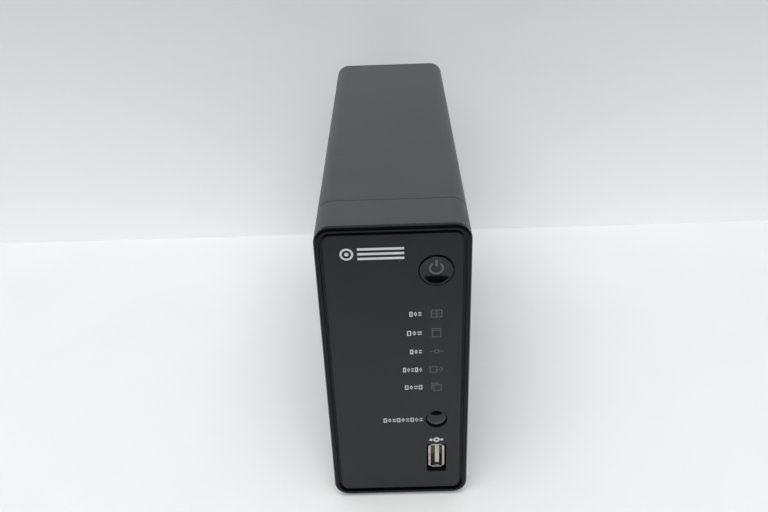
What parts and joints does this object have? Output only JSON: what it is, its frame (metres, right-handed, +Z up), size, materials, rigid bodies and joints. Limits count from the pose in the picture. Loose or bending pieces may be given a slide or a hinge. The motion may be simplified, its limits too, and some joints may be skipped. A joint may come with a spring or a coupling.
{
  "type": "one-bay network attached storage",
  "caption": "Upright rounded box for one disk drive, with a front column of lights, two push buttons and a USB socket, and network and disk sockets at the back.",
  "frame": {"origin": "on the surface it stands on, under the middle of the case", "axes": "+X to the right as seen from the front, the front faces -Y, +Z up"},
  "size_m": [0.06, 0.195, 0.1415],
  "materials": {
    "case_plastic": "satin black moulded plastic",
    "foot_rubber": "matt",
    "screw_steel": "dark zinc",
    "rim_plastic": "glossy black",
    "panel_plastic": "fine matt texture",
    "clear_plastic": "clear moulding",
    "button_plastic": "glossy black",
    "circuit_board": "green lacquer",
    "diode_resin": "clear resin",
    "switch_plastic": "black",
    "header_plastic": "ivory",
    "lead_insulation": "black insulation",
    "nickel": "nickel plate",
    "socket_plastic": "off-white",
    "gold_contact": "gold flash",
    "sheet_steel": "zinc plate",
    "cast_aluminium": "as cast",
    "cover_steel": "brushed",
    "black_connector": "black",
    "disk_metal": "mirror",
    "standoff_brass": "turned",
    "chip_resin": "moulded resin",
    "sink_aluminium": "anodised",
    "can_aluminium": "satin",
    "cell_steel": "bright",
    "rear_plastic": "satin black",
    "fan_plastic": "black"
  },
  "bodies": {
    "sleeve": {"outer_sleeve": "case_plastic", "rubber_feet": "foot_rubber", "case_screws": "screw_steel"},
    "chassis": {"front_cap": "case_plastic", "front_rim": "rim_plastic", "front_panel": "panel_plastic", "light_pipes": "clear_plastic", "front_board": "circuit_board", "front_board_screws": "screw_steel", "indicator_leds": "diode_resin", "power_switch": "switch_plastic", "copy_switch": "switch_plastic", "front_header": "header_plastic", "board_header": "header_plastic", "front_ribbon": "lead_insulation", "front_usb_shell": "nickel", "front_usb_tongue": "socket_plastic", "front_usb_contacts": "gold_contact", "drive_tray": "sheet_steel", "tray_screws": "screw_steel", "drive_screws": "screw_steel", "drive_casting": "cast_aluminium", "drive_cover": "cover_steel", "drive_board": "circuit_board", "drive_connector": "black_connector", "drive_plug": "black_connector", "main_board": "circuit_board", "board_standoffs": "standoff_brass", "main_board_screws": "screw_steel", "processor": "chip_resin", "heat_sink": "sink_aluminium", "memory_chips": "chip_resin", "capacitors": "can_aluminium", "cell_holder": "black_connector", "coin_cell": "cell_steel", "buzzer": "black_connector", "drive_header": "header_plastic", "fan_header": "header_plastic", "drive_lead": "lead_insulation", "fan_lead": "lead_insulation", "rear_usb_shell": "nickel", "rear_usb_tongue": "socket_plastic", "rear_usb_contacts": "gold_contact", "lan_shield": "nickel", "lan_insert": "black_connector", "lan_contacts": "gold_contact", "esata_shell": "nickel", "esata_insert": "black_connector", "power_inlet": "black_connector", "power_inlet_pin": "nickel", "reset_switch": "switch_plastic", "rear_panel": "rear_plastic", "rear_panel_screws": "screw_steel", "fan_screws": "screw_steel", "fan_frame": "fan_plastic"},
    "power_button": {"power_button": "button_plastic"},
    "copy_button": {"copy_button": "button_plastic"},
    "reset_button": {"reset_button": "button_plastic"},
    "fan_rotor": {"fan_rotor": "fan_plastic"},
    "disks": {"drive_disks": "disk_metal"}
  },
  "joints": [
    {"name": "tray_slide", "type": "slide", "parent": "sleeve", "child": "chassis", "axis": [0, -1, 0], "range_m": [0, 0.16]},
    {"name": "power_press", "type": "slide", "parent": "chassis", "child": "power_button", "axis": [0, 1, 0], "range_m": [0, 0.0008], "stiffness_N_per_m": 1500, "springref_m": -0.0004},
    {"name": "copy_press", "type": "slide", "parent": "chassis", "child": "copy_button", "axis": [0, 1, 0], "range_m": [0, 0.0008], "stiffness_N_per_m": 1500, "springref_m": -0.0004},
    {"name": "reset_press", "type": "slide", "parent": "chassis", "child": "reset_button", "axis": [0, -1, 0], "range_m": [0, 0.0004], "stiffness_N_per_m": 2500, "springref_m": -0.0002},
    {"name": "fan_spin", "type": "hinge", "parent": "chassis", "child": "fan_rotor", "pos_m": [-0.0095, 0.088, 0.112], "axis": [0, 1, 0], "continuous": true},
    {"name": "disk_spin", "type": "hinge", "parent": "chassis", "child": "disks", "pos_m": [-0.015, -0.0245, 0.0588], "axis": [1, 0, 0], "continuous": true}
  ]
}
